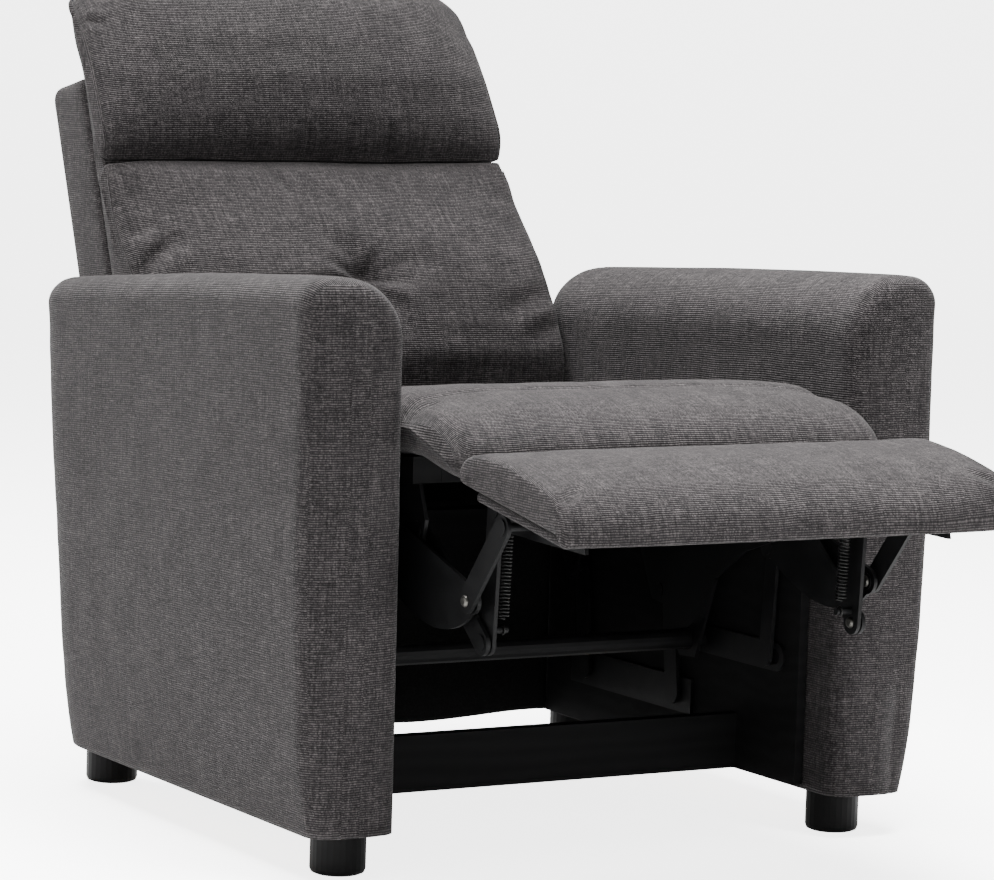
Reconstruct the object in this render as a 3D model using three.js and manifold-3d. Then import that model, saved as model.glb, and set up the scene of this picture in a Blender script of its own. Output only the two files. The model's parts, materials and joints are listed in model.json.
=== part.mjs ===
// Recliner armchair with its footrest out and its back part reclined.
// Millimetres, +Z up, +X to the right of somebody facing the chair, the seat opens towards -Y.
// The origin is on the floor, in the middle of the chair's footprint.
import * as THREE from "three";
import { mergeVertices } from "three/addons/utils/BufferGeometryUtils.js";
import Module from "manifold-3d";

const wasm = await Module();
wasm.setup();

// ---------- driving dimensions ----------
const sides = { left: -1, right: 1 };
const gap = 0.5; // between touching solids
const legRadius = 27.5;
const legHeight = 44;
const legX = 291.8;
const frontLegY = -223;
const rearLegY = 292;
const armBottom = legHeight;
const armTop = 579;
const armFront = -278;
const armInner = 257;
const armOuter = 368.5;
const armRear = 320; // at the bottom; the rear face leans back by rearLean for each millimetre up
const rearLean = 0.09;
const rearRound = 40; // plan radius of the arm's rear outer corner
const halfSeat = 250; // half the width of the cushions
const boardInner = 242.5; // inner face of the boards on the arms
const boardThick = 10;
const railBottom = 49;
const railTop = 107;

// the links lie side by side: distance of each layer's inner face from the middle of the chair
const layer = { bracket: 202.5, upright: 208.5, lower: 214.5, plate: 220.5, bell: 226.5, outer: 232.5, base: 238.5 };
const steel = 4; // thickness of links and plates
const baseSteel = 3;
const rivetRadius = 4;
const rivetHole = 4.6;
const openHole = 6.6; // where a pin closes a loop of links and needs play
const headRadius = 8.5;
const headThick = 1.2;

// pivots, as [y, z]
const pivot = {
  chaise: [-268, 408],
  crease: [-364, 389],
  bracketRear: [-365, 368],
  bracketFront: [-420, 358],
  knee: [-358, 240],
  elbow: [-358, 281],
  lower: [-240.6, 334.6],
  bell: [-215.6, 323.4],
  bellTail: [-181.6, 293.9],
  crankEnd: [-174, 177],
  tube: [-46, 178],
  frontCarrierTop: [12, 223],
  frontCarrierFoot: [0, 112],
  rearCarrierTop: [192, 223],
  rearCarrierFoot: [180, 112],
  back: [330, 330],
};
const tubeRadius = 11;
const slotHalf = 11; // the crank's slot for the push rod's pin
const slotRadius = 7.8;
const boltRadius = 6;
const seatSlope = 0.0865; // fall of the seat frame for each millimetre towards the back
const seatFrameFront = -250;
const seatFrameBack = 300;
const seatRailHeight = 26;
const backLean = THREE.MathUtils.degToRad(21.5);
const footrestSlope = THREE.MathUtils.degToRad(9.3);
const shellFront = 5; // in the back's own frame: y backwards, z up the back, origin at the back pivot
const shellBack = 84;
const shellBottom = 62;
const shellTop = 455;
const headTop = 583;
const backSeam = 346; // height of the seam between the lumbar and head cushions

// ---------- materials ----------
const looks = {
  fabric: { color: 0x4a4746, roughness: 0.95 },
  board: { color: 0x151516, roughness: 0.8 },
  steel: { color: 0x1b1c1e, roughness: 0.5, metalness: 0.6 },
  zinc: { color: 0xb9b8ad, roughness: 0.35, metalness: 1 },
  plastic: { color: 0x101010, roughness: 0.45 },
  wood: { color: 0xb78d5c, roughness: 0.8 },
  cloth: { color: 0x121213, roughness: 0.95 },
};
const material = Object.fromEntries(
  Object.entries(looks).map(([name, look]) => [name, new THREE.MeshStandardMaterial(look)]),
);

// ---------- helpers ----------
const chair = new THREE.Group();

function place(name, geometry, look, parent = chair) {
  const mesh = new THREE.Mesh(geometry, material[look]);
  mesh.name = name;
  parent.add(mesh);
  return mesh;
}

function outline(points) {
  const corners = points.map(([u, v]) => new THREE.Vector2(u, v));
  return new THREE.Shape(THREE.ShapeUtils.isClockWise(corners) ? corners.reverse() : corners);
}

function disc([u, v], radius) {
  return new THREE.Shape().absarc(u, v, radius, 0, 2 * Math.PI, false);
}

function drill(shape, centre, radius) {
  shape.holes.push(new THREE.Path().absarc(centre[0], centre[1], radius, 0, 2 * Math.PI, true));
  return shape;
}

// the outline of a bar with round ends about a and b
function bar([ay, az], [by, bz], radius) {
  const turn = Math.atan2(bz - az, by - ay);
  return new THREE.Shape()
    .absarc(by, bz, radius, turn - Math.PI / 2, turn + Math.PI / 2, false)
    .absarc(ay, az, radius, turn + Math.PI / 2, turn + (3 * Math.PI) / 2, false);
}

// a shape drawn in (y, z) and carried along X from x0 to x1
function slab(shape, x0, x1, { round = 0, segments = 8 } = {}) {
  const depth = Math.abs(x1 - x0) - 2 * round;
  const bevel = { bevelThickness: round, bevelSize: round, bevelOffset: -round, bevelSegments: 3 };
  const geometry = new THREE.ExtrudeGeometry(shape, {
    depth,
    curveSegments: segments,
    bevelEnabled: round > 0,
    ...bevel,
  });
  const sideways = new THREE.Matrix4().set(0, 0, 1, 0, 1, 0, 0, 0, 0, 1, 0, 0, 0, 0, 0, 1);
  return geometry.applyMatrix4(sideways).translate(Math.min(x0, x1) + round, 0, 0);
}

// a shape drawn in (x, z) and carried along Y from y0 to y1
function run(shape, y0, y1, segments = 8) {
  const geometry = new THREE.ExtrudeGeometry(shape, { depth: y1 - y0, curveSegments: segments, bevelEnabled: false });
  return geometry.rotateX(Math.PI / 2).translate(0, y1, 0);
}

// a shape drawn in (x, y) and carried along Z from z0 to z1
function rise(shape, z0, z1, segments = 8) {
  const geometry = new THREE.ExtrudeGeometry(shape, { depth: z1 - z0, curveSegments: segments, bevelEnabled: false });
  return geometry.translate(0, 0, z0);
}

function box(x0, x1, y0, y1, z0, z1) {
  const geometry = new THREE.BoxGeometry(Math.abs(x1 - x0), y1 - y0, z1 - z0);
  return geometry.translate((x0 + x1) / 2, (y0 + y1) / 2, (z0 + z1) / 2);
}

function solid(geometry) {
  const bare = new THREE.BufferGeometry().setAttribute("position", geometry.getAttribute("position"));
  if (geometry.index) bare.setIndex(geometry.index);
  const merged = mergeVertices(bare, 1e-3);
  return new wasm.Manifold(
    new wasm.Mesh({
      numProp: 3,
      vertProperties: new Float32Array(merged.attributes.position.array),
      triVerts: new Uint32Array(merged.index.array),
    }),
  );
}

function surface(manifold) {
  const mesh = manifold.getMesh();
  const geometry = new THREE.BufferGeometry();
  geometry.setAttribute("position", new THREE.BufferAttribute(mesh.vertProperties, 3));
  geometry.setIndex(new THREE.BufferAttribute(mesh.triVerts, 1));
  return geometry;
}

function join(...geometries) {
  return surface(geometries.map(solid).reduce((sum, next) => sum.add(next)));
}

function common(...geometries) {
  return surface(geometries.map(solid).reduce((sum, next) => sum.intersect(next)));
}

function cut(body, ...tools) {
  return surface(tools.map(solid).reduce((sum, next) => sum.subtract(next), solid(body)));
}

// a rivet of the piece whose face is at x, through the neighbour that ends at far, with a head beyond it
function rivet(side, centre, x, far, head = true) {
  const way = Math.sign(far - x);
  const tip = far + way * (head ? 0.4 + headThick / 2 : -0.2);
  const shank = slab(disc(centre, rivetRadius), side * (x - way), side * tip, { segments: 8 });
  if (!head) return [shank];
  const cap = slab(disc(centre, headRadius), side * (far + way * 0.4), side * (far + way * (0.4 + headThick)), {
    segments: 8,
  });
  return [shank, cap];
}

function plate(side, shape, inner, thick = steel) {
  return slab(shape, side * inner, side * (inner + thick), { segments: 8 });
}

// ---------- arms, legs and boards ----------
function makeArm(name, side) {
  const across = new THREE.Shape()
    .moveTo(253, armBottom)
    .lineTo(346.5, armBottom)
    .quadraticCurveTo(364, 130, armOuter, 400)
    .lineTo(armOuter, armTop - 26)
    .absarc(armOuter - 26, armTop - 26, 26, 0, Math.PI / 2, false)
    .lineTo(armInner + 62, armTop)
    .absarc(armInner + 62, armTop - 62, 62, Math.PI / 2, Math.PI, false)
    .lineTo(armInner, 300);
  const along = new THREE.Shape()
    .moveTo(armFront + 3, armBottom)
    .lineTo(armRear + 4, armBottom)
    .lineTo(armRear + 4 + 430 * rearLean, 474)
    .quadraticCurveTo(366, 542, 300, 546)
    .lineTo(237, 551)
    .lineTo(-262, armTop)
    .quadraticCurveTo(armFront, armTop, armFront, armTop - 16);
  const plan = new THREE.Shape()
    .moveTo(240, armFront + 22)
    .lineTo(armInner - 4, armFront + 22)
    .quadraticCurveTo(armInner - 4, armFront, armInner + 20, armFront)
    .lineTo(armOuter - 24, armFront)
    .quadraticCurveTo(armOuter, armFront, armOuter, armFront + 24)
    .lineTo(armOuter, 400)
    .lineTo(240, 400);
  const rearPlan = new THREE.Shape()
    .moveTo(230, armFront - 50)
    .lineTo(380, armFront - 50)
    .lineTo(380, 0)
    .lineTo(352, armRear - rearRound)
    .quadraticCurveTo(351, armRear, 352 - rearRound, armRear)
    .lineTo(275, armRear)
    .quadraticCurveTo(250, armRear, 250, armRear - 25)
    .lineTo(230, armRear - 25);
  const leaning = rise(rearPlan, 0, 600).applyMatrix4(
    new THREE.Matrix4().set(1, 0, 0.04, -0.04 * armBottom, 0, 1, rearLean, -rearLean * armBottom, 0, 0, 1, 0, 0, 0, 0, 1),
  );
  const cavity = box(277, 329, -256, 250, armBottom - 5, 516);
  const whole = common(
    run(across, armFront, 396),
    slab(along, 240, 372, { segments: 10 }),
    rise(plan, armBottom, 600),
    leaning,
  );
  const cover = cut(whole, cavity);
  const frame = cut(
    box(278, 328, -255, 249, armBottom, 515),
    box(270, 340, -220, -25, 90, 490),
    box(270, 340, 20, 212, 90, 490),
  );
  if (side < 0) {
    cover.applyMatrix4(new THREE.Matrix4().makeRotationZ(Math.PI));
    cover.scale(1, -1, 1);
    flip(cover);
    frame.translate(-606, 0, 0);
  }
  place(`${name}_arm_cover`, cover, "fabric");
  place(`${name}_arm_frame`, frame, "wood");
}

// turns every face of a mirrored geometry back to point outwards
function flip(geometry) {
  const index = geometry.index.array;
  for (let i = 0; i < index.length; i += 3) [index[i + 1], index[i + 2]] = [index[i + 2], index[i + 1]];
}

function makeLegs() {
  const profile = [
    [0, 0],
    [legRadius - 5, 0],
    [legRadius - 1.5, 1.5],
    [legRadius, 5],
    [legRadius, legHeight - 0.3],
    [0, legHeight - 0.3],
  ].map(([r, z]) => new THREE.Vector2(r, z));
  for (const [end, y] of Object.entries({ front: frontLegY, rear: rearLegY })) {
    for (const [name, side] of Object.entries(sides)) {
      const leg = new THREE.LatheGeometry(profile, 28).rotateX(Math.PI / 2);
      place(`${end}_${name}_leg`, leg, "plastic").position.set(side * legX, y, 0);
    }
  }
}

function makeBase() {
  place("front_rail", box(-boardInner + gap, boardInner - gap, -114, -98, railBottom, railTop), "board");
  place("rear_rail", box(-boardInner + gap, boardInner - gap, 260, 272, 244, 284), "board");
  place("rear_dust_cover", box(-boardInner + 1, boardInner - 1, 272.5, 275, 46, 292), "cloth");
  const board = outline([
    [frontLegY, railBottom],
    [275, railBottom],
    [275, 290],
    [240, 290],
    [225, 300],
    [frontLegY, 335],
  ]);
  for (const [name, side] of Object.entries(sides)) {
    makeArm(name, side);
    place(`${name}_side_board`, plate(side, board, boardInner, boardThick), "board");
    const rail = outline([
      [-30, 92],
      [215, 92],
      [215, 130],
      [-30, 130],
    ]);
    drill(rail, pivot.frontCarrierFoot, rivetHole);
    drill(rail, pivot.rearCarrierFoot, rivetHole);
    place(`${name}_base_rail`, plate(side, rail, layer.base, 3.5), "steel");
  }
}

// ---------- the links ----------
function makeCarrier(name, side, foot, top) {
  const inner = layer.outer;
  const body = plate(side, bar(foot, top, 12), inner);
  const intoPlate = rivet(side, top, inner, layer.plate);
  const intoBase = rivet(side, foot, inner + steel, layer.base + baseSteel, false);
  place(name, join(body, ...intoPlate, ...intoBase), "steel");
}

function makeBellcrank(side) {
  const [ay, az] = pivot.bell;
  const [ky, kz] = pivot.elbow;
  const [qy, qz] = pivot.bellTail;
  const shape = new THREE.Shape()
    .moveTo(ay + 9, az + 12)
    .absarc(ay, az, 15, 0.93, 1.85, false)
    .lineTo(ky - 3.7, kz + 12.5)
    .absarc(ky, kz, 13, 1.86, 4.6, false)
    .quadraticCurveTo(-335, 246, -290, 246)
    .quadraticCurveTo(-240, 250, qy - 6, qz - 11.5)
    .absarc(qy, qz, 13, 4.2, 6.98, false);
  drill(shape, pivot.elbow, rivetHole);
  drill(shape, pivot.bellTail, rivetHole);
  return join(plate(side, shape, layer.bell), ...rivet(side, pivot.bell, layer.bell, layer.plate));
}

function makeSidePlate(side) {
  const top = (y) => 380 - (y - seatFrameFront) * seatSlope - 1;
  const shape = outline([
    [-256, 345],
    [-242, top(-242)],
    [300, top(300)],
    [336, 347],
    [347, 338],
    [347, 322],
    [338, 313],
    [235, 300],
    [206, 222],
    [202, 210],
    [184, 210],
    [170, 280],
    [60, 280],
    [26, 212],
    [4, 209],
    [-20, 176],
    [-32, 158],
    [-62, 160],
    [-96, 250],
    [-150, 285],
    [-250, 318],
  ]);
  drill(shape, pivot.lower, rivetHole);
  drill(shape, pivot.bell, rivetHole);
  drill(shape, pivot.tube, tubeRadius + 1);
  drill(shape, pivot.frontCarrierTop, rivetHole);
  drill(shape, pivot.rearCarrierTop, rivetHole);
  drill(shape, pivot.back, boltRadius + 0.6);
  return plate(side, shape, layer.plate);
}

function makeLinks(name, side) {
  makeCarrier(`${name}_front_carrier`, side, pivot.frontCarrierFoot, pivot.frontCarrierTop);
  makeCarrier(`${name}_rear_carrier`, side, pivot.rearCarrierFoot, pivot.rearCarrierTop);
  place(`${name}_side_plate`, makeSidePlate(side), "steel");

  const lower = drill(bar(pivot.lower, pivot.knee, 12), pivot.knee, rivetHole);
  const lowerRivet = rivet(side, pivot.lower, layer.lower + steel, layer.plate + steel);
  place(`${name}_lower_link`, join(plate(side, lower, layer.lower), ...lowerRivet), "steel");

  const upright = drill(bar(pivot.knee, pivot.bracketRear, 12), pivot.bracketRear, openHole);
  const stud = slab(disc([-358, 252], 3.5), side * (layer.upright + 1), side * 190, { segments: 6 });
  const kneeRivet = rivet(side, pivot.knee, layer.upright + steel, layer.lower + steel);
  place(`${name}_upright_link`, join(plate(side, upright, layer.upright), stud, ...kneeRivet), "steel");

  place(`${name}_bellcrank`, makeBellcrank(side), "steel");

  const diagonal = drill(bar(pivot.elbow, pivot.bracketFront, 12), pivot.bracketFront, openHole);
  const elbowRivet = rivet(side, pivot.elbow, layer.outer, layer.bell);
  place(`${name}_diagonal_link`, join(plate(side, diagonal, layer.outer), ...elbowRivet), "steel");

  const rod = plate(side, bar(pivot.crankEnd, pivot.bellTail, 10), layer.outer);
  const tailRivet = rivet(side, pivot.bellTail, layer.outer, layer.bell);
  const crankRivet = rivet(side, pivot.crankEnd, layer.outer + steel, layer.base + baseSteel, false);
  place(`${name}_push_rod`, join(rod, ...tailRivet, ...crankRivet), "steel");

  const [py, pz] = pivot.crankEnd;
  const crank = plate(side, bar([py - 12, pz + 1], pivot.tube, 15), layer.base, baseSteel);
  const slot = plate(side, bar([py - slotHalf, pz + 1], [py + slotHalf, pz + 1], slotRadius), layer.base - 2, baseSteel + 4);
  const bore = plate(side, disc(pivot.tube, tubeRadius + 0.4), layer.base - 2, baseSteel + 4);
  place(`${name}_drive_crank`, cut(crank, slot, bore), "steel");

  const spring = new THREE.CylinderGeometry(6, 6, 94, 14).rotateX(Math.PI / 2);
  place(`${name}_spring`, spring, "steel").position.set(side * 195, -360.5, 303.3);
}

// ---------- seat ----------
const seatFrameZ = (y) => 380 - (y - seatFrameFront) * seatSlope;

function seatStrip(y0, y1, low, high) {
  return outline([
    [y0, seatFrameZ(y0) + low],
    [y1, seatFrameZ(y1) + low],
    [y1, seatFrameZ(y1) + high],
    [y0, seatFrameZ(y0) + high],
  ]);
}

function makeSeat() {
  for (const [name, side] of Object.entries(sides)) {
    const rail = seatStrip(seatFrameFront, seatFrameBack, 0, seatRailHeight);
    place(`${name}_seat_rail`, slab(rail, side * 205, side * 236), "board");
    const bolt = join(
      slab(disc(pivot.back, boltRadius), side * 216, side * 234),
      slab(disc(pivot.back, 10), side * 231, side * 235, { segments: 3 }),
      slab(disc(pivot.back, 10), side * 215.5, side * 219.9, { segments: 3 }),
    );
    place(`${name}_back_bolt`, bolt, "zinc");
  }
  const cross = { front: [seatFrameFront, -215], rear: [265, seatFrameBack] };
  for (const [end, [y0, y1]] of Object.entries(cross)) {
    place(`${end}_seat_rail`, slab(seatStrip(y0, y1, 0, seatRailHeight), -204.5, 204.5), "board");
  }
  place("seat_spring_panel", slab(seatStrip(-214.5, 264.5, 8, 12), -204, 204), "steel");
  const under = seatRailHeight + gap;
  const cushion = new THREE.Shape()
    .moveTo(-262, seatFrameZ(-262) + under)
    .lineTo(seatFrameBack, seatFrameZ(seatFrameBack) + under)
    .lineTo(304, 404)
    .lineTo(200, 421)
    .lineTo(-170, 472)
    .quadraticCurveTo(-264, 487, -266, 453);
  place("seat_cushion", slab(cushion, -halfSeat, halfSeat, { segments: 6 }), "fabric");
}

// ---------- chaise pad and footrest ----------
function makeFootrest() {
  const chaise = new THREE.Shape()
    .moveTo(-269, 408)
    .lineTo(-269, 450)
    .quadraticCurveTo(-300, 461, -345, 434)
    .quadraticCurveTo(-364, 420, -360, 396)
    .lineTo(-353, 389)
    .lineTo(-273, 403);
  place("chaise_pad", slab(chaise, -halfSeat, halfSeat, { segments: 4 }), "fabric");

  const rest = new THREE.Group();
  rest.position.set(0, pivot.crease[0], pivot.crease[1]);
  rest.rotation.x = footrestSlope;
  chair.add(rest);
  place("footrest_board", box(-halfSeat, halfSeat, -202, -28, -5, 5), "board", rest);
  const pad = new THREE.Shape()
    .moveTo(-2, 5.3)
    .quadraticCurveTo(6, 26, -10, 38)
    .quadraticCurveTo(-26, 47, -60, 47)
    .lineTo(-140, 46)
    .quadraticCurveTo(-190, 44, -196, 12)
    .lineTo(-194, 5.3);
  place("footrest_pad", slab(pad, -halfSeat - 4, halfSeat + 4, { segments: 4 }), "fabric", rest);

  for (const [name, side] of Object.entries(sides)) {
    const web = new THREE.Shape()
      .moveTo(-410, 374)
      .lineTo(-516, 356.5)
      .lineTo(-520, 344)
      .lineTo(-424, 346)
      .absarc(...pivot.bracketFront, 12, -1.7, -1.2, false)
      .lineTo(-373, 347)
      .lineTo(-353, 347)
      .absarc(...pivot.bracketRear, 12, 0, 1.9, false);
    const flange = outline([
      [-410, 376.2],
      [-516, 358.7],
      [-516, 355.7],
      [-410, 373.2],
    ]);
    const pieces = [
      plate(side, web, layer.bracket),
      slab(flange, side * 178, side * (layer.bracket + steel)),
      ...rivet(side, pivot.bracketRear, layer.bracket + steel, layer.upright + steel),
      ...rivet(side, pivot.bracketFront, layer.bracket + steel, layer.outer + steel),
      slab(disc([-363, 354.5], 3.5), side * 190, side * (layer.bracket + 1), { segments: 6 }),
    ];
    place(`${name}_footrest_bracket`, join(...pieces), "steel");
  }
}

// ---------- drive tube ----------
function makeDriveTube() {
  const reach = layer.base + baseSteel;
  place("drive_tube", slab(disc(pivot.tube, tubeRadius), -reach, reach), "steel");
}

// ---------- back ----------
function makeBack() {
  const back = new THREE.Group();
  back.position.set(0, ...pivot.back);
  back.rotation.x = -backLean;
  chair.add(back);

  const side = new THREE.Shape()
    .moveTo(shellFront, shellBottom)
    .lineTo(shellBack, shellBottom)
    .lineTo(shellBack, shellTop - 10)
    .quadraticCurveTo(shellBack, shellTop, shellBack - 12, shellTop)
    .lineTo(shellFront, shellTop);
  const front = new THREE.Shape()
    .moveTo(-halfSeat, shellBottom)
    .lineTo(halfSeat, shellBottom)
    .lineTo(halfSeat, shellTop - 12)
    .quadraticCurveTo(halfSeat, shellTop, halfSeat - 12, shellTop)
    .lineTo(12 - halfSeat, shellTop)
    .quadraticCurveTo(-halfSeat, shellTop, -halfSeat, shellTop - 12);
  const cavity = box(-226, 226, 18, 60, shellBottom - 4, 432);
  const shell = cut(common(slab(side, -halfSeat, halfSeat), run(front, shellFront - 2, shellBack + 2)), cavity);
  place("back_shell", shell, "fabric", back);
  const ladder = cut(
    box(-225, 225, 20, 58, shellBottom + 1, 431),
    box(-180, 180, 10, 70, 110, 230),
    box(-180, 180, 10, 70, 270, 390),
  );
  place("back_frame", ladder, "wood", back);

  const lumbar = new THREE.Shape()
    .moveTo(shellFront - gap, 86)
    .lineTo(shellFront - gap, backSeam - 2)
    .lineTo(-16, backSeam - 2)
    .quadraticCurveTo(-52, 335, -76, 270)
    .quadraticCurveTo(-112, 190, -84, 88)
    .quadraticCurveTo(-82, 75, -66, 76);
  place("lumbar_cushion", slab(lumbar, -253, 253, { segments: 6 }), "fabric", back);
  const head = new THREE.Shape()
    .moveTo(shellFront - gap, backSeam + 1)
    .lineTo(shellFront - gap, shellTop + 2)
    .lineTo(12, shellTop + 2)
    .quadraticCurveTo(26, 560, 4, headTop)
    .quadraticCurveTo(-30, 590, -44, 540)
    .quadraticCurveTo(-72, 430, -40, 370)
    .lineTo(-16, backSeam + 1);
  place("head_cushion", slab(head, -halfSeat, halfSeat, { segments: 6, round: 12 }), "fabric", back);
  place("back_skirt", box(-236, 236, 66, 68.5, -40, shellBottom - 0.5), "cloth", back);

  for (const [name, way] of Object.entries(sides)) {
    const arm = new THREE.Shape()
      .moveTo(17, 0)
      .lineTo(62, 50)
      .lineTo(62, shellBottom - 1)
      .lineTo(8, shellBottom - 1)
      .lineTo(-16, 6)
      .absarc(0, 0, 17, Math.PI * 0.9, Math.PI * 2, false);
    drill(arm, [0, 0], boltRadius + 0.6);
    const flange = outline([
      [9, shellBottom - 5],
      [62, shellBottom - 5],
      [62, shellBottom - 1],
      [9, shellBottom - 1],
    ]);
    const bracket = join(plate(way, arm, layer.bell), slab(flange, way * 200, way * (layer.bell + steel)));
    place(`${name}_back_bracket`, bracket, "steel", back);
  }
}

makeLegs();
makeBase();
for (const [name, side] of Object.entries(sides)) makeLinks(name, side);
makeDriveTube();
makeSeat();
makeFootrest();
makeBack();

export default chair;
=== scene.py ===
import json
from math import cos, pi, radians, sin

import bmesh
import bpy
import numpy as np
from mathutils import Matrix, Vector


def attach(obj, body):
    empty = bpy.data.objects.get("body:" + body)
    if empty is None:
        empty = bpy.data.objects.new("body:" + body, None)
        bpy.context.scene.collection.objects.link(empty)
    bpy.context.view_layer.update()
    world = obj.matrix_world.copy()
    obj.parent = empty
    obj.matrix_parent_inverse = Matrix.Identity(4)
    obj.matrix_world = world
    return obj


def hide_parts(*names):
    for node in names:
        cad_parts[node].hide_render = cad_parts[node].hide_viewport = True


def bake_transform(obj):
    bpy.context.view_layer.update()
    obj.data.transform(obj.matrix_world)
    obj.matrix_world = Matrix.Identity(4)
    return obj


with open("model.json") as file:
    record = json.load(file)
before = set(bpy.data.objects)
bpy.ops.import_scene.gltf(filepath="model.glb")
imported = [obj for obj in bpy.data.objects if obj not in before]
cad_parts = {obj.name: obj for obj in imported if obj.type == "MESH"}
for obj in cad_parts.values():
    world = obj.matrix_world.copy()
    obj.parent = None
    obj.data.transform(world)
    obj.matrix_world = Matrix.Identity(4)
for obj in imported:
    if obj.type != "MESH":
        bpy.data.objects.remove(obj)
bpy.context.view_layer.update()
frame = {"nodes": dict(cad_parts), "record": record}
scene = bpy.context.scene

# camera
view = {
    "place": (-2.12113, -3.58803, 0.80729), "lens": 145.4, "sensor": 36,
    "yaw": 30.644, "down": 5.699, "roll": 1.828,
}


def addCamera():
    yaw, down, roll = (radians(view[k]) for k in ("yaw", "down", "roll"))
    ahead = Vector((sin(yaw) * cos(down), cos(yaw) * cos(down), -sin(down)))
    right = Vector((cos(yaw), -sin(yaw), 0))
    up = right.cross(ahead)
    turnedRight = right * cos(roll) + up * sin(roll)
    turnedUp = up * cos(roll) - right * sin(roll)
    data = bpy.data.cameras.new("camera")
    data.sensor_width = view["sensor"]
    data.lens = view["lens"]
    camera = bpy.data.objects.new("camera", data)
    turn = Matrix((turnedRight, turnedUp, -ahead)).transposed().to_4x4()
    camera.matrix_world = Matrix.Translation(view["place"]) @ turn
    scene.collection.objects.link(camera)
    scene.camera = camera


addCamera()

# light
light = {
    "world": 0.62,
    "lamps": [
        # name, place, target, size, watts, width of the cone
        ("top", (-0.3, 0.75, 3.3), (0, -0.1, 0.4), 2.6, 600, 180),
        ("front", (0.15, -0.85, 2.5), (0.15, -0.62, 0.4), 0.9, 19, 56),
        ("left", (-3.6, -0.2, 0.9), (0, 0, 0.35), 1.6, 26, 180),
        ("right", (2.4, -3.2, 1.3), (0.1, 0, 0.4), 1.4, 18, 180),
    ],
}


def addLight():
    world = bpy.data.worlds.new("studio")
    scene.world = world
    world.use_nodes = True
    back = world.node_tree.nodes["Background"]
    back.inputs["Color"].default_value = (1, 1, 1, 1)
    back.inputs["Strength"].default_value = light["world"]
    for name, place, target, size, watts, cone in light["lamps"]:
        data = bpy.data.lights.new(name, "AREA")
        data.shape = "DISK"
        data.size = size
        data.energy = watts
        data.spread = radians(cone)
        lamp = bpy.data.objects.new(name, data)
        lamp.location = place
        lamp.rotation_euler = (Vector(target) - Vector(place)).to_track_quat("-Z", "Y").to_euler()
        scene.collection.objects.link(lamp)


addLight()

# floor
sweep = {
    "rings": (0.6, 2, 4, 6, 8.5), "turnUp": 1.2, "wall": 3.0, "sides": 96, "bends": 8,
    "paint": (0.9, 0.9, 0.9), "rough": 0.9, "glow": 0.4, "seenGlow": 3.8,
}


def floorPaint():
    paint = bpy.data.materials.new("floor_paint")
    paint.use_nodes = True
    tree = paint.node_tree
    shader = tree.nodes["Principled BSDF"]
    shader.inputs["Base Color"].default_value = (*sweep["paint"], 1)
    shader.inputs["Roughness"].default_value = sweep["rough"]
    shader.inputs["Emission Color"].default_value = (1, 1, 1, 1)
    # the glow is stronger for the camera's own rays, so the sweep reads as white without lighting the chair more
    path = tree.nodes.new("ShaderNodeLightPath")
    glow = tree.nodes.new("ShaderNodeMapRange")
    glow.inputs["To Min"].default_value = sweep["glow"]
    glow.inputs["To Max"].default_value = sweep["seenGlow"]
    tree.links.new(path.outputs["Is Camera Ray"], glow.inputs["Value"])
    tree.links.new(glow.outputs["Result"], shader.inputs["Emission Strength"])
    return paint


# a flat disc whose rim turns up through a quarter circle into a low wall: radius and height ring by ring
def addFloor():
    sides, rise = sweep["sides"], sweep["turnUp"]
    bend = np.linspace(0, pi / 2, sweep["bends"] + 1)[1:]
    flat = np.array(sweep["rings"], float)
    r = np.concatenate([flat, flat[-1] + rise * np.sin(bend), [flat[-1] + rise]])[:, None]
    z = np.concatenate([0 * flat, rise * (1 - np.cos(bend)), [sweep["wall"]]])[:, None]
    turn = np.linspace(0, 2 * pi, sides, endpoint=False)
    points = np.stack([r * np.cos(turn), r * np.sin(turn), z + 0 * turn], -1).reshape(-1, 3)
    index = np.arange(len(points)).reshape(len(r), sides)
    beside = np.roll(index, -1, 1)
    quads = np.stack([index[:-1], index[1:], beside[1:], beside[:-1]], -1).reshape(-1, 4)
    mesh = bpy.data.meshes.new("floor")
    mesh.from_pydata(points.tolist(), [], quads.tolist() + [index[0].tolist()])
    mesh.polygons.foreach_set("use_smooth", [True] * len(mesh.polygons))
    mesh.materials.append(floorPaint())
    floor = bpy.data.objects.new("floor", mesh)
    scene.collection.objects.link(floor)


addFloor()
print("camera, light and floor are set")


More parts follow.
